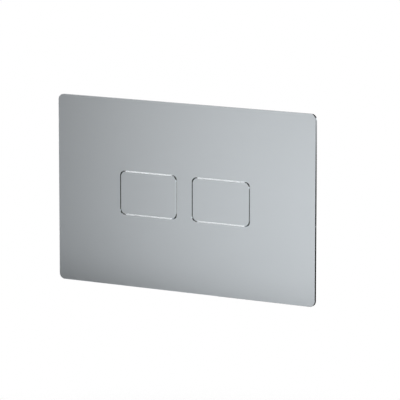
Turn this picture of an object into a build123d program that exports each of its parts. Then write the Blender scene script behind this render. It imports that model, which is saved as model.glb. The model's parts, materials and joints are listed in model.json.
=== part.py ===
from build123d import *
import os

# Dual flush button plate for a concealed cistern, in millimetres: a flat stainless plate with two
# flush buttons, the guide frame behind it that the buttons slide in, the bracket that it hangs on,
# and the rods and bolts that reach back to the cistern.
# X runs to the right, Y back into the wall, Z up. The origin is the plate's centre on the wall line.

os.makedirs("parts", exist_ok=True)

# Face plate
plate_width = 250.0
plate_height = 160.0
plate_thickness = 2.0
plate_corner = 5.0
plate_edge_break = 0.15

# Foam seal between the plate and the wall
gasket_thickness = 1.0
gasket_inset = 3.0
gasket_band = 8.0

# Buttons
button_width = 54.8
button_height = 36.5
button_corner = 4.6
button_gap = 0.3
aperture_corner = 4.0
gap_edge_break = 0.3
button_pitch = 70.6
button_travel = 6.0
travel_spare = 0.5

# Button carriers
carrier_reach = 3.0
carrier_wall = 1.8
carrier_depth = 12.0
carrier_rib = 1.4
carrier_rib_pitch = 33.0
carrier_rib_clear = 0.6
damper_thickness = 0.8
damper_band = 2.2
pad_inset = 2.0

# Push rods and their lock nuts
rod_radius = 4.0
rod_bore_radius = 4.05
rod_boss_radius = 7.0
rod_thread_in = 9.0
rod_end = 96.0
rod_tip_radius = 3.0
rod_tip_length = 14.0
locknut_flats = 13.0
locknut_height = 5.0
nut_edge = 0.8

# Return springs, one round each rod boss
spring_radius = 9.0
spring_wire = 1.2
spring_wire_sides = 6
spring_turns = 5
spring_runs = 10

# Guide frame
flange_width = 150.0
flange_height = 112.0
flange_corner = 8.0
flange_thickness = 2.0
well_clearance = 0.35
well_wall = 1.8
well_floor_thickness = 2.0
rod_hole_radius = 8.2
stop_radius = 10.2
stop_thickness = 1.5
stop_width = 6.0
stop_height = 2.0
window_width = 16.0
window_height = 34.0
window_pitch = 40.0
web_thickness = 2.0
web_pitch = 28.0
web_depth = 11.0
gusset_thickness = 1.8
gusset_reach = 9.0
gusset_depth = 6.5
gusset_pitch = 40.0

# Weld studs on the plate's back, with the nuts that hold the guide frame
stud_radius = 1.5
stud_bore_radius = 1.55
stud_slot = (5.0, 3.4)
stud_boss_size = 8.4
stud_boss_height = 3.5
stud_past_nut = 1.0
stud_columns = (-58.0, 58.0)
stud_rows = (-38.0, 38.0)
stud_nut_flats = 5.5
stud_nut_height = 2.4

# Mounting bracket
bracket_width = 198.0
bracket_height = 118.0
bracket_corner = 8.0
bracket_web = 2.5
opening_width = 148.0
opening_height = 94.0
opening_corner = 5.0
rim = 2.0
outer_rim_depth = 11.0
inner_rim_depth = 9.0
seat_height = 2.0
seat_size = (16.0, 8.0)
seat_pitch = (116.0, 106.0)
channel_rib = 1.6
channel_rib_depth = 8.0
channel_rib_columns = (-75.0, -50.0, -16.0, 16.0, 50.0, 75.0)
channel_rib_rows = (-34.0, 34.0)

# Hooks at the top of the guide frame, tongues and steel latch clips at the bottom
latch_pitch = 64.0
hook_width = 12.0
hook_thickness = 2.0
hook_slack = 0.4
hook_lip = 3.6
tongue_drop = 3.4
tongue_ridge = 0.9
tongue_ridge_front = 9.4
tongue_ridge_back = 12.0
tongue_end = 13.5
clip_width = 10.0
clip_strip = 0.5
clip_slack = 0.15
clip_leg = 6.0
clip_nose_depth = 8.2
clip_nose_rise = 2.4
clip_tail_depth = 4.8
clip_tail_rise = 0.2
clip_fold = 0.5

# Fixing bolts, with a washer under each head and a ring that keeps the bolt in the bracket
bolt_spacing = 173.0
bolt_radius = 3.0
bolt_waist_radius = 2.6
bolt_waist_spare = 0.6
bolt_end = 50.0
bolt_head_radius = 6.5
bolt_head_height = 4.2
bolt_slot_width = 1.6
bolt_slot_depth = 2.0
pocket_width = 17.0
pocket_height = 32.0
pocket_depth = 6.0
pocket_floor_thickness = 3.0
slot_length = 16.0
slot_width = 6.6
washer_size = 15.0
washer_thickness = 1.2
ring_radius = 6.5
ring_bore_radius = 2.65
ring_thickness = 1.6
ring_slits = 4
ring_slit_depth = 2.0
ring_slit_width = 0.8

# Depths behind the wall line, worked out from front to back
plate_back = -gasket_thickness
carrier_front = plate_back + damper_thickness
carrier_floor = carrier_front + carrier_wall
carrier_back = carrier_front + carrier_depth
well_floor = carrier_back + button_travel + travel_spare
well_back = well_floor + well_floor_thickness
flange_back = plate_back + flange_thickness
stud_boss_back = flange_back + stud_boss_height
stud_end = stud_boss_back + stud_nut_height + stud_past_nut
bracket_front = flange_back + seat_height
web_back = bracket_front + bracket_web
outer_rim_back = bracket_front + outer_rim_depth
inner_rim_back = bracket_front + inner_rim_depth
pocket_floor = bracket_front + pocket_depth
pocket_back = pocket_floor + pocket_floor_thickness
head_back = pocket_floor - washer_thickness
head_front = head_back - bolt_head_height
ring_back = pocket_back + ring_thickness

# Widths worked out from the buttons
aperture_width = button_width + 2 * button_gap
aperture_height = button_height + 2 * button_gap
carrier_width = aperture_width + 2 * carrier_reach
carrier_height = aperture_height + 2 * carrier_reach
carrier_corner = aperture_corner + carrier_reach
well_width = carrier_width + 2 * well_clearance
well_height = carrier_height + 2 * well_clearance
well_corner = carrier_corner + well_clearance
well_top = well_height / 2 + well_wall

# Places across the plate
button_x = {"left": -button_pitch / 2, "right": button_pitch / 2}
bolt_x = {"left": -bolt_spacing / 2, "right": bolt_spacing / 2}
latch_x = {"left": -latch_pitch / 2, "right": latch_pitch / 2}
button_places = [(x, 0) for x in button_x.values()]
bolt_places = [(x, 0) for x in bolt_x.values()]
stud_places = [(x, z) for x in stud_columns for z in stud_rows]
latch_planes = [Plane.YZ.offset(x) for x in latch_x.values()]


def depth(y, x=0.0):
    """The plane across the plate at depth y, centred on x and facing the front."""
    return Plane((x, y, 0), x_dir=(1, 0, 0), z_dir=(0, -1, 0))


def rear(x, y):
    """The plane at a point, facing the back, for holes drilled from behind."""
    return Plane((x, y, 0), x_dir=(-1, 0, 0), z_dir=(0, 1, 0))


def keep(part, name):
    """Labels a finished piece and writes it."""
    part.label = name
    export_step(part, f"parts/{name}.step")


# Face plate: flat sheet with two apertures and broken front edges
with BuildPart() as face_plate:
    with BuildSketch(depth(plate_back)):
        RectangleRounded(plate_width, plate_height, plate_corner)
        with Locations(*button_places):
            RectangleRounded(aperture_width, aperture_height, aperture_corner, mode=Mode.SUBTRACT)
    extrude(amount=plate_thickness)
    chamfer(face_plate.faces().sort_by(Axis.Y)[0].outer_wire().edges(), plate_edge_break)
    chamfer(face_plate.faces().sort_by(Axis.Y)[0].inner_wires().edges(), gap_edge_break)
keep(face_plate.part, "face_plate")

# Studs welded to the plate's back, one group
with BuildPart() as weld_studs:
    with BuildSketch(depth(stud_end)):
        with Locations(*stud_places):
            Circle(stud_radius)
    extrude(amount=stud_end - plate_back)
keep(weld_studs.part, "weld_studs")

# Foam seal round the plate's back, set in from its edge
gasket_width = plate_width - 2 * gasket_inset
gasket_height = plate_height - 2 * gasket_inset
with BuildPart() as wall_gasket:
    with BuildSketch(depth(0)):
        Rectangle(gasket_width, gasket_height)
        Rectangle(gasket_width - 2 * gasket_band, gasket_height - 2 * gasket_band, mode=Mode.SUBTRACT)
    extrude(amount=gasket_thickness)
keep(wall_gasket.part, "wall_gasket")

# Guide frame: flange against the plate, with a well behind each aperture that its carrier slides in
with BuildPart() as guide_frame:
    with BuildSketch(depth(flange_back)):
        RectangleRounded(flange_width, flange_height, flange_corner)
    extrude(amount=flange_thickness)
    with BuildSketch(depth(well_back)):
        with Locations(*button_places):
            RectangleRounded(
                well_width + 2 * well_wall, well_height + 2 * well_wall, well_corner + well_wall
            )
    extrude(amount=well_back - flange_back)

    # Webs between the two wells
    well_space = button_pitch - well_width - well_wall
    with BuildSketch(depth(flange_back + web_depth)):
        with GridLocations(0, web_pitch, 1, 2):
            Rectangle(well_space, web_thickness)
    extrude(amount=web_depth)

    # Gussets from the wells' long walls to the flange
    gusset_planes = [
        Plane.YZ.offset(x + side * gusset_pitch / 2) for x, _ in button_places for side in (-1, 1)
    ]
    with BuildSketch(*gusset_planes):
        with BuildLine():
            Polyline(
                (flange_back, well_top),
                (flange_back + gusset_depth, well_top),
                (flange_back, well_top + gusset_reach),
                close=True,
            )
        make_face()
        mirror(about=Plane.XZ)
    extrude(amount=gusset_thickness / 2, both=True)

    # Wells opened from the front, with a rod hole and a window each side of it in the floor
    with BuildSketch(depth(well_floor)):
        with Locations(*button_places):
            RectangleRounded(well_width, well_height, well_corner)
    extrude(amount=well_floor - plate_back, mode=Mode.SUBTRACT)
    with BuildSketch(depth(well_back)):
        with Locations(*button_places):
            Circle(rod_hole_radius)
            with GridLocations(window_pitch, 0, 2, 1):
                Rectangle(window_width, window_height)
    extrude(amount=well_floor_thickness, mode=Mode.SUBTRACT)

    # Four stops round each rod hole that keep the spring's end in place
    with BuildSketch(depth(well_floor)):
        with Locations(*button_places):
            with PolarLocations(stop_radius + stop_thickness / 2, 4, start_angle=45):
                Rectangle(stop_thickness, stop_width)
    extrude(amount=stop_height)

    # Bosses for the plate's weld studs, slotted so that the frame finds its place
    with BuildSketch(depth(stud_boss_back)):
        with Locations(*stud_places):
            Rectangle(stud_boss_size, stud_boss_size)
    extrude(amount=stud_boss_height)
    with BuildSketch(depth(stud_boss_back)):
        with Locations(*stud_places):
            Rectangle(*stud_slot)
    extrude(amount=stud_boss_back - plate_back, mode=Mode.SUBTRACT)

    # Hooks that hang over the bracket's top inner rim
    hook_top = opening_height / 2 - hook_slack
    hook_back = inner_rim_back + hook_slack + hook_thickness
    with BuildSketch(*latch_planes):
        with BuildLine():
            Polyline(
                (flange_back, hook_top - hook_thickness),
                (hook_back, hook_top - hook_thickness),
                (hook_back, hook_top + hook_lip),
                (hook_back - hook_thickness, hook_top + hook_lip),
                (hook_back - hook_thickness, hook_top),
                (flange_back, hook_top),
                close=True,
            )
        make_face()
    extrude(amount=hook_width / 2, both=True)

    # Tongues with a ridge that the latch clips snap behind
    tongue_under = -opening_height / 2 + tongue_drop
    with BuildSketch(*latch_planes):
        with BuildLine():
            Polyline(
                (flange_back, tongue_under),
                (tongue_ridge_front, tongue_under),
                (tongue_ridge_front, tongue_under - tongue_ridge),
                (tongue_ridge_back, tongue_under),
                (tongue_end, tongue_under),
                (tongue_end, tongue_under + hook_thickness),
                (flange_back, tongue_under + hook_thickness),
                close=True,
            )
        make_face()
    extrude(amount=hook_width / 2, both=True)
keep(guide_frame.part, "guide_frame")

# Hexagon nuts on the weld studs, one group
with BuildPart() as frame_nuts:
    with BuildSketch(depth(stud_boss_back + stud_nut_height)):
        with Locations(*stud_places):
            RegularPolygon(stud_nut_flats / 2, 6, major_radius=False)
            Circle(stud_bore_radius, mode=Mode.SUBTRACT)
    extrude(amount=stud_nut_height)
keep(frame_nuts.part, "frame_nuts")

# Mounting bracket: open channel frame with a bolt pocket in each side
with BuildPart() as mounting_bracket:
    with BuildSketch(depth(web_back)):
        RectangleRounded(bracket_width, bracket_height, bracket_corner)
        RectangleRounded(opening_width, opening_height, opening_corner, mode=Mode.SUBTRACT)
    extrude(amount=bracket_web)
    with BuildSketch(depth(outer_rim_back)):
        RectangleRounded(bracket_width, bracket_height, bracket_corner)
        RectangleRounded(
            bracket_width - 2 * rim, bracket_height - 2 * rim, bracket_corner - rim, mode=Mode.SUBTRACT
        )
    extrude(amount=outer_rim_depth)
    with BuildSketch(depth(inner_rim_back)):
        RectangleRounded(opening_width + 2 * rim, opening_height + 2 * rim, opening_corner + rim)
        RectangleRounded(opening_width, opening_height, opening_corner, mode=Mode.SUBTRACT)
    extrude(amount=inner_rim_depth)

    # Cross ribs that stiffen the channel, along the top and bottom and in the sides
    top_channel = (bracket_height - opening_height) / 2 - 2 * rim
    side_channel = (bracket_width - opening_width) / 2 - 2 * rim
    with BuildSketch(depth(bracket_front + channel_rib_depth)):
        for row in (-1, 1):
            with Locations(*[(x, row * (bracket_height + opening_height) / 4) for x in channel_rib_columns]):
                Rectangle(channel_rib, top_channel)
        for x, _ in bolt_places:
            with Locations(*[(x, z) for z in channel_rib_rows]):
                Rectangle(side_channel, channel_rib)
    extrude(amount=channel_rib_depth)

    # Bolt pockets, each with an upright slot in its floor
    with BuildSketch(depth(pocket_back)):
        with Locations(*bolt_places):
            Rectangle(side_channel, pocket_height + 2 * rim)
    extrude(amount=pocket_back - bracket_front)
    with BuildSketch(depth(pocket_floor)):
        with Locations(*bolt_places):
            Rectangle(pocket_width, pocket_height)
    extrude(amount=pocket_depth, mode=Mode.SUBTRACT)
    with BuildSketch(depth(pocket_back)):
        with Locations(*bolt_places):
            SlotOverall(slot_length, slot_width, rotation=90)
    extrude(amount=pocket_floor_thickness, mode=Mode.SUBTRACT)

    # Seats that the guide frame's flange rests on
    with BuildSketch(depth(bracket_front)):
        with GridLocations(*seat_pitch, 2, 2):
            Rectangle(*seat_size)
    extrude(amount=seat_height)
keep(mounting_bracket.part, "mounting_bracket")

# Square plate washers under the bolt heads, which can't turn in the pockets, one group
with BuildPart() as fixing_washers:
    with BuildSketch(depth(pocket_floor)):
        with Locations(*bolt_places):
            Rectangle(washer_size, washer_size)
            Circle(slot_width / 2, mode=Mode.SUBTRACT)
    extrude(amount=washer_thickness)
keep(fixing_washers.part, "fixing_washers")

for side in ("left", "right"):
    x = button_x[side]

    # Button cap: the stainless face of the button, flush with the plate
    with BuildPart() as button_cap:
        with BuildSketch(depth(plate_back, x)):
            RectangleRounded(button_width, button_height, button_corner)
        extrude(amount=plate_thickness)
        chamfer(button_cap.faces().sort_by(Axis.Y)[0].edges(), gap_edge_break)
    keep(button_cap.part, f"{side}_button_cap")

    # Button carrier: moulded box, open at the back, that reaches behind the plate past the aperture
    with BuildPart() as button_carrier:
        with BuildSketch(depth(carrier_back, x)):
            RectangleRounded(carrier_width, carrier_height, carrier_corner)
        extrude(amount=carrier_depth)
        offset(amount=-carrier_wall, openings=button_carrier.faces().sort_by(Axis.Y)[-1])
        with BuildSketch(depth(carrier_front, x)):
            Rectangle(button_width - 2 * pad_inset, button_height - 2 * pad_inset)
        extrude(amount=damper_thickness)
        with BuildSketch(depth(carrier_back, x)):
            Rectangle(carrier_width - carrier_wall, carrier_rib)
            with GridLocations(carrier_rib_pitch, 0, 2, 1):
                Rectangle(carrier_rib, carrier_height - carrier_wall)
            Circle(stop_radius + stop_thickness + carrier_rib_clear, mode=Mode.SUBTRACT)
            Circle(rod_boss_radius)
        extrude(amount=carrier_back - carrier_floor)
        with Locations(rear(x, carrier_back)):
            Hole(rod_bore_radius, depth=carrier_back - carrier_floor)
    keep(button_carrier.part, f"{side}_button_carrier")

    # Foam strips on the carrier's upper and lower rims, which meet the plate's back when the button is out
    with BuildPart() as damper:
        with BuildSketch(depth(carrier_front, x)):
            with GridLocations(0, aperture_height + carrier_reach, 1, 2):
                Rectangle(carrier_width - 2 * carrier_corner, damper_band)
        extrude(amount=damper_thickness)
    keep(damper.part, f"{side}_damper")

    # Return spring: wire coiled in short straight runs, between the carrier and the well's floor
    coil_front = Vector(x, carrier_floor + spring_wire / 2, 0)
    coil_length = well_floor - carrier_floor - spring_wire
    coil_steps = spring_turns * spring_runs
    coil_points = [
        coil_front
        + Vector(0, coil_length * step / coil_steps, 0)
        + Vector(spring_radius, 0, 0).rotate(Axis.Y, 360 * step / spring_runs)
        for step in range(coil_steps + 1)
    ]
    with BuildPart() as return_spring:
        with BuildLine() as coil:
            Polyline(*coil_points)
        with BuildSketch(Plane(coil.line @ 0, z_dir=coil.line % 0)):
            RegularPolygon(spring_wire / 2, spring_wire_sides)
        sweep(path=coil.line, transition=Transition.RIGHT)
    keep(return_spring.part, f"{side}_return_spring")

    # Push rod: screwed into the carrier's boss, with a plain tip that meets the valve lever
    rod_front = carrier_back - rod_thread_in
    tip_front = rod_end - rod_tip_length
    with BuildPart() as push_rod:
        with BuildSketch(Plane((x, 0, 0))):
            with BuildLine():
                Polyline(
                    (0, rod_front),
                    (rod_radius, rod_front),
                    (rod_radius, tip_front),
                    (rod_tip_radius, tip_front),
                    (rod_tip_radius, rod_end),
                    (0, rod_end),
                    close=True,
                )
            make_face()
        revolve(axis=Axis((x, 0, 0), (0, 1, 0)))
    keep(push_rod.part, f"{side}_push_rod")

    # Lock nut that holds the rod's setting against the boss
    with BuildPart() as rod_locknut:
        with BuildSketch(depth(carrier_back + locknut_height, x)):
            RegularPolygon(locknut_flats / 2, 6, major_radius=False)
            Circle(rod_bore_radius, mode=Mode.SUBTRACT)
        extrude(amount=locknut_height)
        chamfer(rod_locknut.faces().sort_by(Axis.Y)[-1].outer_wire().edges(), nut_edge)
    keep(rod_locknut.part, f"{side}_rod_locknut")

    # Latch clip: folded spring strip over the bracket's bottom inner rim
    clip_top = -opening_height / 2 + clip_slack + clip_strip / 2
    clip_under = -opening_height / 2 - rim - clip_slack - clip_strip / 2
    clip_back = inner_rim_back + clip_slack + clip_strip / 2
    with BuildPart() as latch_clip:
        with BuildSketch(Plane.YZ.offset(latch_x[side])):
            with BuildLine():
                FilletPolyline(
                    (clip_leg, clip_under),
                    (clip_back, clip_under),
                    (clip_back, clip_top),
                    (clip_nose_depth, clip_top + clip_nose_rise),
                    (clip_tail_depth, clip_top + clip_tail_rise),
                    radius=clip_fold,
                )
            trace(line_width=clip_strip)
        extrude(amount=clip_width / 2, both=True)
    keep(latch_clip.part, f"{side}_latch_clip")

    # Fixing bolt: slotted cheese head in the pocket, waist through the slot, thread towards the cistern
    x = bolt_x[side]
    thread_front = ring_back + bolt_waist_spare
    with BuildPart() as fixing_bolt:
        with BuildSketch(Plane((x, 0, 0))):
            with BuildLine():
                Polyline(
                    (bolt_head_radius, head_front),
                    (bolt_head_radius, head_back),
                    (bolt_waist_radius, head_back),
                    (bolt_waist_radius, thread_front),
                    (bolt_radius, thread_front),
                    (bolt_radius, bolt_end),
                    (0, bolt_end),
                    (0, head_front),
                    close=True,
                )
            make_face()
        revolve(axis=Axis((x, 0, 0), (0, 1, 0)))
        with BuildSketch(depth(head_front + bolt_slot_depth, x)):
            Rectangle(2 * bolt_head_radius, bolt_slot_width)
        extrude(amount=bolt_slot_depth, mode=Mode.SUBTRACT)
    keep(fixing_bolt.part, f"{side}_fixing_bolt")

    # Retaining ring: slit ring on the bolt's waist, behind the pocket's floor
    with BuildPart() as retaining_ring:
        with BuildSketch(depth(ring_back, x)):
            Circle(ring_radius)
            Circle(ring_bore_radius, mode=Mode.SUBTRACT)
            with PolarLocations(ring_bore_radius, ring_slits):
                Rectangle(2 * ring_slit_depth, ring_slit_width, mode=Mode.SUBTRACT)
        extrude(amount=ring_thickness)
    keep(retaining_ring.part, f"{side}_retaining_ring")
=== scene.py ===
"""Looks of the dual flush button plate.

A satin steel front, a moulded back, studio light and the photo's camera.
"""
import json
import math

import bmesh
import bpy
from mathutils import Matrix, Vector


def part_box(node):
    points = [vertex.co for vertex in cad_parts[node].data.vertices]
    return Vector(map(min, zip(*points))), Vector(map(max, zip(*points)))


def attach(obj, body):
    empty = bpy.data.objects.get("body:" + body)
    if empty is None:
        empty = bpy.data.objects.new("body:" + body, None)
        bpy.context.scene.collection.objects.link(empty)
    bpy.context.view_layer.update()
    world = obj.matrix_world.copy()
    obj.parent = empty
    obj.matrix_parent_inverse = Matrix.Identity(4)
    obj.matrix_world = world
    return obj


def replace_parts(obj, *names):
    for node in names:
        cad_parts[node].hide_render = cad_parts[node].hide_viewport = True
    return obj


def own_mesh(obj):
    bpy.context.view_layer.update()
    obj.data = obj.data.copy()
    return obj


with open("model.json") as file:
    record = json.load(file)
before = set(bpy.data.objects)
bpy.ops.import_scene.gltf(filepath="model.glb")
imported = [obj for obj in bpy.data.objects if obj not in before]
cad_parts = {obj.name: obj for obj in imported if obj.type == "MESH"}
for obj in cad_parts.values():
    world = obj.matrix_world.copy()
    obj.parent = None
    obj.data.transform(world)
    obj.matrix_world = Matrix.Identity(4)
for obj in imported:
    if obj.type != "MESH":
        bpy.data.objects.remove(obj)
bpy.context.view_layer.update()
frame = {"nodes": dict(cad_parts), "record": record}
nodes = frame["nodes"]
scene = bpy.context.scene

MM = 0.001
SIDES = ("left", "right")

# Sizes of the modelled pieces, in millimetres and degrees
ROD_PITCH = 2.0
ROD_THREAD_DEPTH = 0.65
ROD_TIP_RADIUS = 3.0
ROD_TIP_LENGTH = 14.0
ROD_TIP_ROUND = 1.0
BOLT_PITCH = 1.0
BOLT_THREAD_DEPTH = 0.55
BOLT_RADIUS = 3.0
BOLT_WAIST_RADIUS = 2.6
BOLT_THREAD_FRONT = 14.2
BOLT_HEAD_HEIGHT = 4.2
BOLT_HEAD_ROUND = 0.6
BOLT_SLOT_WIDTH = 1.6
BOLT_SLOT_DEPTH = 2.0
BOLT_TIP = 0.8
STUD_RADIUS = 1.5
STUD_PITCH = 0.5
STUD_THREAD_DEPTH = 0.27
STUD_THREAD_FRONT = 2.0
STUD_TIP = 0.4
STUD_NUT_FLATS = 5.5
STUD_NUT_BORE_RADIUS = 1.5
ROD_NUT_FLATS = 13.0
ROD_NUT_BORE_RADIUS = 4.0
NUT_CHAMFER_ANGLE = 30.0
SPRING_WIRE = 1.2
GASKET_BAND = 8.0
GASKET_CORNER = 0.5
LEAST_CORNER = 0.1

# How far soft, moulded and stamped edges are rounded, in millimetres: single solids, then those on each side
FOAM_ROUND = 0.22
MOULD_ROUND = 0.25
WASHER_ROUND = 0.15
SINGLE_ROUNDS = {
    "guide_frame": MOULD_ROUND,
    "mounting_bracket": MOULD_ROUND,
    "fixing_washers": WASHER_ROUND,
}
SIDE_ROUNDS = {
    "button_carrier": MOULD_ROUND,
    "damper": FOAM_ROUND,
    "retaining_ring": WASHER_ROUND,
}

# Nuts: the circle of the chamfer and the depth of the countersink, as shares of the width across flats
NUT_FACE = 0.475
NUT_SINK = 0.1

# Springs: turns in all and closed at each end, the turns that an end takes to open, and how many times
# steeper the open turns rise
SPRING_TURNS = 6.0
SPRING_CLOSED_TURNS = 0.9
SPRING_EASE = 0.3
SPRING_OPEN_RISE = 6.0

# A thread's outline: places along one pitch, as shares of it, and whether each lies on the crest
THREAD_OUTLINE = ((0.0, True), (0.14, True), (0.45, False), (0.69, False))

# Facets of the modelled pieces, of rounded edges and of the floor
ROD_SIDES = 40
BOLT_SIDES = 40
STUD_SIDES = 24
NUT_SIDES = 72
WIRE_SIDES = 12
SPRING_STEPS = 48
CORNER_STEPS = 8
ARC_STEPS = 6
ROUND_SEGMENTS = 2
FLOOR_SIDES = 96

# How close points are merged, in metres in the pieces and millimetres in the solids, and angles in degrees
DOUBLES = 1e-7
WELD = 0.001
CREASE_ANGLE = 35.0
FOAM_CREASE_ANGLE = 60.0
FLAT_ANGLE = 0.5
ROUND_ANGLE = 40.0

# Camera, fitted to the plate's four corners in the photograph
CAMERA_AZIMUTH = 30.84
CAMERA_ELEVATION = 9.44
CAMERA_TARGET = Vector((15.3, -3.0, 0.1)) * MM
CAMERA_DISTANCE = 2742.0 * MM
CAMERA_LENS = 296.1
SENSOR_WIDTH = 36.0

# Colours, as linear values
STEEL = (0.732, 0.779, 0.812)
BLACK_PLASTIC = (0.030, 0.031, 0.034)
GREY_PLASTIC = (0.36, 0.38, 0.40)
ACETAL = (0.62, 0.62, 0.59)
RING_BLUE = (0.06, 0.14, 0.34)
ZINC = (0.62, 0.64, 0.67)
SPRING_STEEL = (0.42, 0.42, 0.43)
FOAM = (0.022, 0.022, 0.024)
FLOOR_WHITE = (0.82, 0.82, 0.82)
WARM_WHITE = (1.0, 0.92, 0.86)
NEUTRAL_WHITE = (1.0, 1.0, 1.0)

# Surfaces: textures per metre along each axis, shares of change in colour, roughness and its spread,
# and bumps as a height in metres, with a strength where it isn't full
STEEL_GRAIN = (60.0, 5200.0, 5200.0)
STEEL_CLOUD = (14.0, 14.0, 30.0)
STEEL_CHANGE = 0.012
STEEL_BUMP = 4e-6
FACE_ROUGHNESS = (0.313, 0.413)
EDGE_ROUGHNESS = 0.06
MOULD_CLOUD = (45.0, 45.0, 45.0)
MOULD_CHANGE = 0.10
MOULD_SPREAD = 0.06
MOULD_BUMP = (2e-5, 0.5)
PLATED_CLOUD = (260.0, 260.0, 260.0)
PLATED_GRAIN = (3000.0, 900.0, 3000.0)
PLATED_CHANGE = 0.12
PLATED_SPREAD = 0.08
PLATED_BUMP = 6e-6
FOAM_CELLS = (1500.0, 1500.0, 1500.0)
FOAM_CHANGE = 0.5
FOAM_BUMP = (2e-4, 0.7)
FOAM_ROUGHNESS = 0.92

# How far a normal points along Y where an edge of the sheet ends and where its face begins
FLAT_FACING = (0.9, 0.99)

# Light and floor, in metres and watts. The floor starts to fade at a share of its radius
AMBIENT_LEVEL = 0.6
TOP_LIGHT_POWER = 9.0
TOP_LIGHT_SIZE = (1.1, 0.75)
TOP_LIGHT_PLACE = Vector((-0.20, 0.35, 0.95))
FLOOR_LEVEL = -0.28
FLOOR_RADIUS = 0.55
FLOOR_FADE_START = 0.3
FLOOR_ROUGHNESS = 0.9

# Cards that only shiny surfaces see, in metres. Three flags shade the plate's face from beyond its edges
LEFT_FLAG_DISTANCE = 1.174
LEFT_FLAG_EDGE = -0.075
LEFT_FLAG_SIZE = (1.0, 1.6)
LOW_FLAG_DISTANCE = 0.173
LOW_FLAG_EDGE = -0.121
LOW_FLAG_ROLL = 5.0
HIGH_FLAG_DISTANCE = 0.42
HIGH_FLAG_EDGE = 0.110
LONG_FLAG_SIZE = (1.4, 0.4)
CARD_BLACK = 0.004
CARD_CURVE = 2.4
# The others shade or light its bevels and cut edges: middle, facing, size, and brightness at foot and head
EDGE_CARDS = {
    "right_card": ((0.72, -0.55, 0.35), (-0.72, 0.55, -0.35), (1.1, 1.9), CARD_BLACK, CARD_BLACK),
    "right_foot_card": ((0.285, -0.10, -0.27), (0, 0, 1), (0.73, 0.6), CARD_BLACK, CARD_BLACK),
    "left_gap_strip": ((0.500, -0.319, -0.093), (-0.845, 0.51, 0.164), (0.024, 0.09), 1.15, 1.15),
    "right_gap_strip": ((0.528, -0.270, -0.098), (-0.845, 0.51, 0.164), (0.04, 0.08), 0.25, 0.25),
    "corner_band": ((0.525, -0.328, 0.065), (-0.845, 0.51, 0.164), (0.15, 0.23), 1.8, 1.8),
    "overhead_card": ((-0.51, -0.17, 0.85), (0.51, 0.17, -0.85), (1.0, 0.8), 0.25, 0.25),
    "top_edge_card": ((0.0, -0.001, 0.10), (0, 0, -1), (0.8, 0.022), 0.6, 0.6),
    "back_left_card": ((-0.75, 0.45, -0.10), (0.75, -0.45, 0.10), (0.8, 0.8), CARD_BLACK, CARD_BLACK),
    "back_right_card": ((0.29, 0.25, -0.002), (0, -1, 0), (0.30, 0.122), CARD_BLACK, 0.9),
    "back_low_card": ((0.22, 0.25, -0.167), (0, -1, 0), (0.46, 0.207), CARD_BLACK, CARD_BLACK),
    "back_high_card": ((0.15, 0.25, 0.225), (0, -1, 0), (0.24, 0.15), CARD_BLACK, CARD_BLACK),
    "back_grey_card": ((-0.16, 0.25, 0.128), (0, -1, 0), (0.36, 0.12), 0.55, 0.55),
}
# A bright strip that the gaps round the buttons mirror twice, warm enough to look white in the cool steel
FRONT_STRIP = ((-0.51, -0.85, 0.165), (0.51, 0.85, -0.165), (0.22, 0.05), 3.9, 3.9)


# Materials
def shader(name):
    """A new material, its node tree and its principled shader."""
    made = bpy.data.materials.new(name)
    made.use_nodes = True
    tree = made.node_tree
    return made, tree, tree.nodes["Principled BSDF"]


def texture(tree, kind, stretch):
    """A texture node in the piece's own coordinates, in metres, stretched by a scale on each axis."""
    place = tree.nodes.new("ShaderNodeTexCoord")
    mapping = tree.nodes.new("ShaderNodeMapping")
    mapping.inputs["Scale"].default_value = stretch
    tree.links.new(place.outputs["Object"], mapping.inputs["Vector"])
    node = tree.nodes.new(kind)
    node.inputs["Scale"].default_value = 1.0
    tree.links.new(mapping.outputs["Vector"], node.inputs["Vector"])
    return node


def noise(tree, stretch, detail):
    """Noise from 0 to 1 in the piece's own coordinates."""
    node = texture(tree, "ShaderNodeTexNoise", stretch)
    node.inputs["Detail"].default_value = detail
    return node.outputs["Fac"]


def spread(tree, source, low, high, start=0.0, end=1.0):
    """A value between a start and an end, mapped to a range."""
    node = tree.nodes.new("ShaderNodeMapRange")
    for key, value in (("From Min", start), ("From Max", end), ("To Min", low), ("To Max", high)):
        node.inputs[key].default_value = value
    tree.links.new(source, node.inputs["Value"])
    return node.outputs["Result"]


def tint(tree, source, colour, change):
    """A colour that varies about its value by a share, with a value from 0 to 1."""
    ramp = tree.nodes.new("ShaderNodeValToRGB")
    for element, share in zip(ramp.color_ramp.elements, (1 - change, 1 + change)):
        element.color = (*(min(1.0, channel * share) for channel in colour), 1.0)
    tree.links.new(source, ramp.inputs["Fac"])
    return ramp.outputs["Color"]


def bump(tree, source, height, strength=1.0):
    """A bump of a height in metres."""
    node = tree.nodes.new("ShaderNodeBump")
    node.inputs["Distance"].default_value = height
    node.inputs["Strength"].default_value = strength
    tree.links.new(source, node.inputs["Height"])
    return node.outputs["Normal"]


def facing(tree):
    """1 on a sheet's front and back, and 0 on its bevels and cut edges."""
    shape = tree.nodes.new("ShaderNodeNewGeometry")
    axes = tree.nodes.new("ShaderNodeSeparateXYZ")
    tree.links.new(shape.outputs["True Normal"], axes.inputs["Vector"])
    size = tree.nodes.new("ShaderNodeMath")
    size.operation = "ABSOLUTE"
    tree.links.new(axes.outputs["Y"], size.inputs[0])
    return spread(tree, size.outputs["Value"], 0.0, 1.0, *FLAT_FACING)


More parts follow.
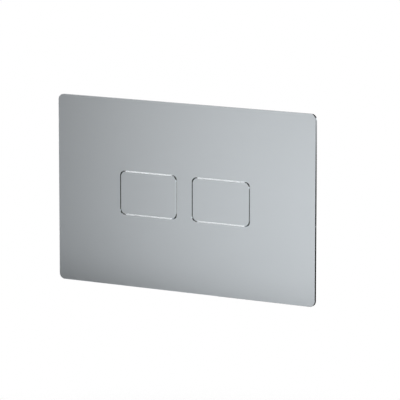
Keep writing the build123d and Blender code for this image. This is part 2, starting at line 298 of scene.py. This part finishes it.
def satin_steel():
    """Stainless sheet with a fine brushed grain along the plate's length, and polished edges."""
    made, tree, base = shader("satin_steel")
    grain = noise(tree, STEEL_GRAIN, detail=3.0)
    cloud = noise(tree, STEEL_CLOUD, detail=2.0)
    tree.links.new(tint(tree, cloud, STEEL, STEEL_CHANGE), base.inputs["Base Color"])
    flat = facing(tree)
    roughness = spread(tree, flat, EDGE_ROUGHNESS, 0.0)
    tree.links.new(spread(tree, grain, *FACE_ROUGHNESS), roughness.node.inputs["To Max"])
    tree.links.new(roughness, base.inputs["Roughness"])
    brushed = bump(tree, grain, STEEL_BUMP)
    tree.links.new(flat, brushed.node.inputs["Strength"])
    tree.links.new(brushed, base.inputs["Normal"])
    base.inputs["Metallic"].default_value = 1.0
    return made


def moulded(name, colour, roughness, grain_size):
    """Injection-moulded plastic with a fine spark-eroded texture."""
    made, tree, base = shader(name)
    grain = noise(tree, [1.0 / grain_size] * 3, detail=4.0)
    cloud = noise(tree, MOULD_CLOUD, detail=3.0)
    tree.links.new(tint(tree, cloud, colour, MOULD_CHANGE), base.inputs["Base Color"])
    rough = spread(tree, grain, roughness - MOULD_SPREAD, roughness + MOULD_SPREAD)
    tree.links.new(rough, base.inputs["Roughness"])
    tree.links.new(bump(tree, grain, *MOULD_BUMP), base.inputs["Normal"])
    return made


def plated(name, colour, roughness):
    """Metal with a cloudy plated or drawn surface."""
    made, tree, base = shader(name)
    cloud = noise(tree, PLATED_CLOUD, detail=4.0)
    grain = noise(tree, PLATED_GRAIN, detail=2.0)
    tree.links.new(tint(tree, cloud, colour, PLATED_CHANGE), base.inputs["Base Color"])
    rough = spread(tree, grain, roughness - PLATED_SPREAD, roughness + PLATED_SPREAD)
    tree.links.new(rough, base.inputs["Roughness"])
    tree.links.new(bump(tree, grain, PLATED_BUMP), base.inputs["Normal"])
    base.inputs["Metallic"].default_value = 1.0
    return made


def foam():
    """Closed-cell foam with small open pores on its cut faces."""
    made, tree, base = shader("foam")
    cells = texture(tree, "ShaderNodeTexVoronoi", FOAM_CELLS).outputs["Distance"]
    tree.links.new(tint(tree, cells, FOAM, FOAM_CHANGE), base.inputs["Base Color"])
    tree.links.new(bump(tree, cells, *FOAM_BUMP), base.inputs["Normal"])
    base.inputs["Roughness"].default_value = FOAM_ROUGHNESS
    return made


MATERIALS = {
    "satin_steel": satin_steel(),
    "frame_plastic": moulded("frame_plastic", BLACK_PLASTIC, roughness=0.46, grain_size=0.0004),
    "bracket_plastic": moulded("bracket_plastic", GREY_PLASTIC, roughness=0.5, grain_size=0.0004),
    "rod_plastic": moulded("rod_plastic", ACETAL, roughness=0.34, grain_size=0.0006),
    "ring_plastic": moulded("ring_plastic", RING_BLUE, roughness=0.42, grain_size=0.0005),
    "zinc": plated("zinc", ZINC, roughness=0.32),
    "spring_steel": plated("spring_steel", SPRING_STEEL, roughness=0.3),
    "foam": foam(),
}
for part in frame["record"]["subparts"]:
    mesh = nodes[part["node"]].data
    mesh.materials.clear()
    mesh.materials.append(MATERIALS[part["material_slot"]])


# Modelled pieces
def finished(name, work, crease=CREASE_ANGLE):
    """A mesh from a bmesh, with doubles merged, normals outward and edges sharp past an angle."""
    bmesh.ops.remove_doubles(work, verts=work.verts, dist=DOUBLES)
    bmesh.ops.dissolve_degenerate(work, edges=work.edges, dist=DOUBLES)
    bmesh.ops.recalc_face_normals(work, faces=work.faces)
    mesh = bpy.data.meshes.new(name)
    work.to_mesh(mesh)
    work.free()
    mesh.shade_smooth()
    mesh.set_sharp_from_angle(angle=math.radians(crease))
    return mesh


def around(centre, radius, depth, i, count):
    """The point i of count round an axis along Y."""
    turn = 2 * math.pi * i / count
    return Vector((centre.x + radius * math.cos(turn), depth, centre.z + radius * math.sin(turn)))


def ring(centre, radius, depth, count):
    """All points round an axis along Y."""
    return [around(centre, radius, depth, i, count) for i in range(count)]


def arc_angles(whole):
    """The angles of an arc's points, from 0 to its whole angle."""
    return [whole * step / ARC_STEPS for step in range(ARC_STEPS + 1)]


def corners(low, high, inset_x, inset_z):
    """The four places that stand in from a box's corners."""
    return [
        Vector((x, 0, z))
        for x in (low.x + inset_x, high.x - inset_x)
        for z in (low.z + inset_z, high.z - inset_z)
    ]


def add_walls(work, rings, closed=False):
    """Faces between rings of points in a row, and from its last ring to its first where it is closed."""
    rows = [[work.verts.new(point) for point in points] for points in rings]
    following = rows[1:] + rows[:1] if closed else rows[1:]
    for near, far in zip(rows, following):
        for i in range(len(near)):
            j = (i + 1) % len(near)
            work.faces.new((near[i], near[j], far[j], far[i]))
    return rows


def add_shaft(work, centre, stations, count):
    """The wall of a turned shaft along Y through stations of depth and radius, with its ends open."""
    return add_walls(work, [ring(centre, radius, depth, count) for depth, radius in stations])


def add_thread(work, centre, front, back, major, minor, pitch, count):
    """A screw thread between two depths, which runs out to its root at both ends."""
    points = len(THREAD_OUTLINE)
    turns = math.ceil((back - front) / pitch) + 2
    columns = []
    for i in range(count):
        column = []
        for step in range(turns * points):
            turn, part = divmod(step, points)
            share, crest = THREAD_OUTLINE[part]
            depth = front + pitch * (turn + share + i / count - 1)
            radius = major if crest and front < depth < back else minor
            depth = min(max(depth, front), back)
            column.append(work.verts.new(around(centre, radius, depth, i, count)))
        columns.append(column)
    for i in range(count):
        j = (i + 1) % count
        shift = points if j == 0 else 0
        near, far = columns[i], columns[j][shift:]
        for a in range(len(far) - 1):
            work.faces.new((near[a], near[a + 1], far[a + 1], far[a]))


def threaded_rod(name, low, high):
    """Plastic push rod: coarse thread for most of its length and a plain rounded tip."""
    centre, radius = (low + high) / 2, (high.x - low.x) / 2
    root = radius - ROD_THREAD_DEPTH * MM
    tip = ROD_TIP_RADIUS * MM
    shoulder = high.y - ROD_TIP_LENGTH * MM
    rounded = ROD_TIP_ROUND * MM
    front = [(low.y, root - rounded), (low.y + rounded, root)]
    end = [
        (high.y - rounded + rounded * math.sin(turn), tip - rounded + rounded * math.cos(turn))
        for turn in arc_angles(math.pi / 2)
    ]
    back = [(shoulder - rounded, root), (shoulder, tip)] + end
    work = bmesh.new()
    work.faces.new(add_shaft(work, centre, front, ROD_SIDES)[0])
    add_thread(work, centre, front[-1][0], back[0][0], radius, root, ROD_PITCH * MM, ROD_SIDES)
    work.faces.new(add_shaft(work, centre, back, ROD_SIDES)[-1])
    return finished(name, work)


def fixing_bolt(name, low, high):
    """Slotted bolt: rounded head, plain waist and a metric thread with a chamfered tip."""
    centre, head = (low + high) / 2, (high.x - low.x) / 2
    radius, waist = BOLT_RADIUS * MM, BOLT_WAIST_RADIUS * MM
    root = radius - BOLT_THREAD_DEPTH * MM
    rounded = BOLT_HEAD_ROUND * MM
    head_back = low.y + BOLT_HEAD_HEIGHT * MM
    thread_front, thread_back = BOLT_THREAD_FRONT * MM, high.y - BOLT_TIP * MM
    crown = [
        (low.y + rounded - rounded * math.cos(turn), head - rounded + rounded * math.sin(turn))
        for turn in arc_angles(math.pi / 2)
    ]
    front = crown + [(head_back, head), (head_back, waist), (thread_front, waist), (thread_front, root)]
    tip = [(thread_back, root), (high.y, root - BOLT_TIP * MM)]
    work = bmesh.new()
    work.faces.new(add_shaft(work, centre, front, BOLT_SIDES)[0])
    add_thread(work, centre, thread_front, thread_back, radius, root, BOLT_PITCH * MM, BOLT_SIDES)
    work.faces.new(add_shaft(work, centre, tip, BOLT_SIDES)[-1])
    return slotted(finished(name, work), centre, low.y, head)


def slotted(mesh, centre, front, reach):
    """The mesh with a straight slot cut across its front."""
    bpy.ops.mesh.primitive_cube_add(size=2, location=(centre.x, front, centre.z))
    cutter = bpy.context.object
    cutter.scale = (2 * reach, BOLT_SLOT_DEPTH * MM, BOLT_SLOT_WIDTH * MM / 2)
    blank = bpy.data.objects.new("blank", mesh)
    scene.collection.objects.link(blank)
    cut = blank.modifiers.new("slot", "BOOLEAN")
    cut.operation = "DIFFERENCE"
    cut.solver = "EXACT"
    cut.object = cutter
    shown = blank.evaluated_get(bpy.context.evaluated_depsgraph_get())
    made = bpy.data.meshes.new_from_object(shown)
    made.name = mesh.name
    bpy.data.objects.remove(blank)
    bpy.data.objects.remove(cutter)
    return made


def weld_studs(name, low, high):
    """Studs welded to the plate's back: a plain foot and a fine thread."""
    radius = STUD_RADIUS * MM
    root = radius - STUD_THREAD_DEPTH * MM
    thread_front, thread_back = STUD_THREAD_FRONT * MM, high.y - STUD_TIP * MM
    foot = [(low.y, radius), (thread_front, radius), (thread_front, root)]
    tip = [(thread_back, root), (high.y, root - STUD_TIP * MM)]
    work = bmesh.new()
    for centre in corners(low, high, radius, radius):
        work.faces.new(add_shaft(work, centre, foot, STUD_SIDES)[0])
        add_thread(work, centre, thread_front, thread_back, radius, root, STUD_PITCH * MM, STUD_SIDES)
        work.faces.new(add_shaft(work, centre, tip, STUD_SIDES)[-1])
    return finished(name, work)


def add_nut(work, centre, front, back, flats, bore):
    """A hexagon nut with both faces chamfered to a circle and a countersunk bore."""
    face, sink = NUT_FACE * flats, NUT_SINK * flats
    slope = math.tan(math.radians(NUT_CHAMFER_ANGLE))
    side = 360 / 6

    def outside(depth, inward):
        points = []
        for i in range(NUT_SIDES):
            turn = (360 / NUT_SIDES * i) % side - side / 2
            reach = flats / 2 / math.cos(math.radians(turn))
            points.append(around(centre, reach, depth + inward * (reach - face) * slope, i, NUT_SIDES))
        return points

    rings = [
        ring(centre, bore + sink, front, NUT_SIDES),
        ring(centre, face, front, NUT_SIDES),
        outside(front, 1),
        outside(back, -1),
        ring(centre, face, back, NUT_SIDES),
        ring(centre, bore + sink, back, NUT_SIDES),
        ring(centre, bore, back - sink, NUT_SIDES),
        ring(centre, bore, front + sink, NUT_SIDES),
    ]
    add_walls(work, rings, closed=True)


def frame_nuts(name, low, high):
    """The four nuts on the plate's studs."""
    flats = STUD_NUT_FLATS * MM
    work = bmesh.new()
    for centre in corners(low, high, flats / math.sqrt(3), flats / 2):
        add_nut(work, centre, low.y, high.y, flats, STUD_NUT_BORE_RADIUS * MM)
    return finished(name, work)


def rod_nut(name, low, high):
    """The nut that holds a push rod's setting."""
    work = bmesh.new()
    add_nut(work, (low + high) / 2, low.y, high.y, ROD_NUT_FLATS * MM, ROD_NUT_BORE_RADIUS * MM)
    return finished(name, work)


def spring_depths(front, back):
    """Depths along a spring's wire at equal steps of turn, close together where its ends are closed."""
    rises = []
    for step in range(int(SPRING_TURNS * SPRING_STEPS)):
        turn = step / SPRING_STEPS
        inside = min(turn, SPRING_TURNS - turn) - SPRING_CLOSED_TURNS
        open_share = min(max(inside / SPRING_EASE + 0.5, 0.0), 1.0)
        rises.append(1 + open_share * (SPRING_OPEN_RISE - 1))
    scale = (back - front) / sum(rises)
    depths = [front]
    for rise in rises:
        depths.append(depths[-1] + rise * scale)
    return depths


def return_spring(name, low, high):
    """Round-wire compression spring with closed, ground ends."""
    centre, wire = (low + high) / 2, SPRING_WIRE * MM / 2
    radius = (high.x - low.x) / 2 - wire
    rings = []
    for step, depth in enumerate(spring_depths(low.y, high.y)):
        turn = 2 * math.pi * step / SPRING_STEPS
        out = Vector((math.cos(turn), 0, math.sin(turn)))
        points = []
        for k in range(WIRE_SIDES):
            angle = 2 * math.pi * k / WIRE_SIDES
            point = centre + out * (radius + wire * math.cos(angle))
            point.y = min(max(depth + wire * math.sin(angle), low.y), high.y)
            points.append(point)
        rings.append(points)
    work = bmesh.new()
    rows = add_walls(work, rings)
    work.faces.new(rows[0])
    work.faces.new(rows[-1])
    return finished(name, work)


def rounded_outline(low, high, inset, corner, depth):
    """The points of a rounded rectangle that stands in from a box's sides."""
    radius = max(corner - inset, LEAST_CORNER * MM)
    left, right = low.x + inset + radius, high.x - inset - radius
    bottom, top = low.z + inset + radius, high.z - inset - radius
    points = []
    for quarter, (x, z) in enumerate(((right, top), (left, top), (left, bottom), (right, bottom))):
        for step in range(CORNER_STEPS + 1):
            turn = math.pi / 2 * (quarter + step / CORNER_STEPS)
            points.append(Vector((x + radius * math.cos(turn), depth, z + radius * math.sin(turn))))
    return points


def foam_seal(name, low, high):
    """A die-cut ring of foam whose cut edges swell a little."""
    soft, half = FOAM_ROUND * MM, (high.y - low.y) / 2
    section = []
    for edge, way in ((0.0, 1), (GASKET_BAND * MM, -1)):
        swell = [
            (edge + way * soft * (1 - math.sin(turn)), low.y + half - half * math.cos(turn))
            for turn in arc_angles(math.pi)
        ]
        section += swell[::way]
    work = bmesh.new()
    rings = [rounded_outline(low, high, inset, GASKET_CORNER * MM, depth) for inset, depth in section]
    add_walls(work, rings, closed=True)
    return finished(name, work, FOAM_CREASE_ANGLE)


def add_piece(name, make, node, slot, body):
    """A piece of the object that is modelled in a solid's box and stands in place of that solid."""
    mesh = make(name, *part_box(node))
    mesh.materials.append(MATERIALS[slot])
    made = bpy.data.objects.new(name, mesh)
    scene.collection.objects.link(made)
    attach(made, body)
    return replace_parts(made, node)


def add_spring(side):
    """A spring on the plate, with a mesh of its own."""
    node = f"{side}_return_spring"
    spring = add_piece(f"{side}_wire_spring", return_spring, node, "spring_steel", "plate")
    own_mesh(spring)


def add_pieces():
    """The pieces that are modelled here, in place of their plainer solids."""
    for name, make, node, slot in (
        ("threaded_studs", weld_studs, "weld_studs", "zinc"),
        ("hexagon_nuts", frame_nuts, "frame_nuts", "zinc"),
        ("foam_seal", foam_seal, "wall_gasket", "foam"),
    ):
        add_piece(name, make, node, slot, "plate")
    for side in SIDES:
        button = f"{side}_button"
        for name, make, node, slot, body in (
            ("threaded_rod", threaded_rod, "push_rod", "rod_plastic", button),
            ("rod_nut", rod_nut, "rod_locknut", "rod_plastic", button),
            ("slotted_bolt", fixing_bolt, "fixing_bolt", "zinc", "plate"),
        ):
            add_piece(f"{side}_{name}", make, f"{side}_{node}", slot, body)
        add_spring(side)


def soften(node, width):
    """Rounds the edges of a solid."""
    shape = nodes[node]
    shape.modifiers.new("join", "WELD").merge_threshold = WELD * MM
    flat = shape.modifiers.new("flat", "DECIMATE")
    flat.decimate_type = "DISSOLVE"
    flat.angle_limit = math.radians(FLAT_ANGLE)
    edge = shape.modifiers.new("edge", "BEVEL")
    edge.width = width * MM
    edge.segments = ROUND_SEGMENTS
    edge.limit_method = "ANGLE"
    edge.angle_limit = math.radians(ROUND_ANGLE)
    edge.harden_normals = True


def soften_solids():
    """Rounds the edges of the mouldings, dampers, washers and rings."""
    for node, width in SINGLE_ROUNDS.items():
        soften(node, width)
    for side in SIDES:
        for node, width in SIDE_ROUNDS.items():
            soften(f"{side}_{node}", width)


add_pieces()
soften_solids()


# Camera, light and cards
def aim(place, target):
    """The matrix of a thing at a place whose -Z points at a target."""
    turn = (target - place).to_track_quat("-Z", "Y")
    return Matrix.Translation(place) @ turn.to_matrix().to_4x4()


def add_camera():
    """The photo's camera."""
    azimuth, elevation = math.radians(CAMERA_AZIMUTH), math.radians(CAMERA_ELEVATION)
    level = math.cos(elevation)
    back = Vector((math.sin(azimuth) * level, -math.cos(azimuth) * level, math.sin(elevation)))
    data = bpy.data.cameras.new("photo_camera")
    data.lens = CAMERA_LENS
    data.sensor_width = SENSOR_WIDTH
    camera = bpy.data.objects.new("photo_camera", data)
    scene.collection.objects.link(camera)
    camera.matrix_world = aim(CAMERA_TARGET + back * CAMERA_DISTANCE, CAMERA_TARGET)
    scene.camera = camera


def add_world():
    """White where the camera or a shiny surface sees it, and plain ambient light elsewhere."""
    world = bpy.data.worlds.new("studio")
    scene.world = world
    world.use_nodes = True
    tree = world.node_tree
    ambient = tree.nodes["Background"]
    white = tree.nodes.new("ShaderNodeBackground")
    for background, level in ((ambient, AMBIENT_LEVEL), (white, 1.0)):
        background.inputs["Color"].default_value = (*NEUTRAL_WHITE, 1)
        background.inputs["Strength"].default_value = level
    path = tree.nodes.new("ShaderNodeLightPath")
    seen = path.outputs["Is Camera Ray"]
    for output in ("Is Glossy Ray", "Is Transmission Ray"):
        either = tree.nodes.new("ShaderNodeMath")
        either.operation = "MAXIMUM"
        tree.links.new(seen, either.inputs[0])
        tree.links.new(path.outputs[output], either.inputs[1])
        seen = either.outputs["Value"]
    mix = tree.nodes.new("ShaderNodeMixShader")
    tree.links.new(seen, mix.inputs["Fac"])
    tree.links.new(ambient.outputs["Background"], mix.inputs[1])
    tree.links.new(white.outputs["Background"], mix.inputs[2])
    tree.links.new(mix.outputs["Shader"], tree.nodes["World Output"].inputs["Surface"])


def add_floor():
    """A pale round floor well below the plate, which fades into the white round it."""
    bpy.ops.mesh.primitive_circle_add(vertices=FLOOR_SIDES, radius=FLOOR_RADIUS, fill_type="NGON")
    floor = bpy.context.object
    floor.name = "floor"
    floor.location = (0, 0, FLOOR_LEVEL)
    made, tree, base = shader("floor_paper")
    place = tree.nodes.new("ShaderNodeTexCoord")
    reach = tree.nodes.new("ShaderNodeVectorMath")
    reach.operation = "LENGTH"
    tree.links.new(place.outputs["Object"], reach.inputs[0])
    fade = spread(tree, reach.outputs["Value"], 1.0, 0.0, FLOOR_FADE_START * FLOOR_RADIUS, FLOOR_RADIUS)
    fade.node.interpolation_type = "SMOOTHSTEP"
    tree.links.new(fade, base.inputs["Alpha"])
    base.inputs["Base Color"].default_value = (*FLOOR_WHITE, 1)
    base.inputs["Roughness"].default_value = FLOOR_ROUGHNESS
    floor.data.materials.append(made)


def card_paper(name, half_height, foot, head, colour):
    """A card's light, whose brightness goes from its foot to its head in a curve."""
    made, tree, base = shader(name)
    place = tree.nodes.new("ShaderNodeTexCoord")
    axes = tree.nodes.new("ShaderNodeSeparateXYZ")
    tree.links.new(place.outputs["Object"], axes.inputs["Vector"])
    curve = tree.nodes.new("ShaderNodeMath")
    curve.operation = "POWER"
    curve.inputs[1].default_value = CARD_CURVE
    tree.links.new(spread(tree, axes.outputs["Y"], 0.0, 1.0, -half_height, half_height), curve.inputs[0])
    tree.links.new(spread(tree, curve.outputs["Value"], foot, head), base.inputs["Emission Strength"])
    base.inputs["Emission Color"].default_value = (*colour, 1)
    base.inputs["Base Color"].default_value = (0, 0, 0, 1)
    base.inputs["Roughness"].default_value = 1.0
    base.inputs["Specular IOR Level"].default_value = 0.0
    return made


def add_card(name, place, way, size, foot, head, roll=0.0, colour=NEUTRAL_WHITE):
    """A card that only shiny surfaces see."""
    wide, high = size[0] / 2, size[1] / 2
    mesh = bpy.data.meshes.new(name)
    points = [(-wide, -high, 0), (wide, -high, 0), (wide, high, 0), (-wide, high, 0)]
    mesh.from_pydata(points, [], [(0, 1, 2, 3)])
    mesh.materials.append(card_paper(name, high, foot, head, colour))
    card = bpy.data.objects.new(name, mesh)
    scene.collection.objects.link(card)
    card.matrix_world = aim(Vector(place), Vector(place) + Vector(way)) @ Matrix.Rotation(roll, 4, "Z")
    card.visible_camera = False
    card.visible_diffuse = False
    card.visible_shadow = False
    card.visible_transmission = False


def mirrored():
    """The direction in which the plate's front face mirrors the camera, on the level."""
    azimuth = math.radians(CAMERA_AZIMUTH)
    return Vector((-math.sin(azimuth), -math.cos(azimuth), 0))


def add_cards():
    """Cards that shade the plate's reflections at its left, foot and head, and round its edges."""
    away = mirrored()
    aside = Vector((-away.y, away.x, 0))
    left = away * LEFT_FLAG_DISTANCE + aside * (LEFT_FLAG_EDGE - LEFT_FLAG_SIZE[0] / 2)
    add_card("left_flag", left, away, LEFT_FLAG_SIZE, CARD_BLACK, CARD_BLACK)
    half = LONG_FLAG_SIZE[1] / 2
    low = away * LOW_FLAG_DISTANCE + Vector((0, 0, LOW_FLAG_EDGE - half))
    roll = math.radians(LOW_FLAG_ROLL)
    add_card("low_flag", low, (0, -1, 0), LONG_FLAG_SIZE, CARD_BLACK, CARD_BLACK, roll)
    high = away * HIGH_FLAG_DISTANCE + Vector((0, 0, HIGH_FLAG_EDGE + half))
    add_card("high_flag", high, (0, -1, 0), LONG_FLAG_SIZE, CARD_BLACK, CARD_BLACK)
    for name, values in EDGE_CARDS.items():
        add_card(name, *values)
    add_card("front_strip", *FRONT_STRIP, colour=WARM_WHITE)


def add_light(name, place, size, power):
    """A rectangular lamp that shines at the plate's centre."""
    data = bpy.data.lights.new(name, "AREA")
    data.shape = "RECTANGLE"
    data.size, data.size_y = size
    data.energy = power
    light = bpy.data.objects.new(name, data)
    scene.collection.objects.link(light)
    light.matrix_world = aim(place, Vector((0, 0, 0)))
    light.visible_camera = False


add_camera()
add_world()
add_floor()
add_cards()
add_light("top_softbox", TOP_LIGHT_PLACE, TOP_LIGHT_SIZE, TOP_LIGHT_POWER)

scene.view_settings.view_transform = "Standard"
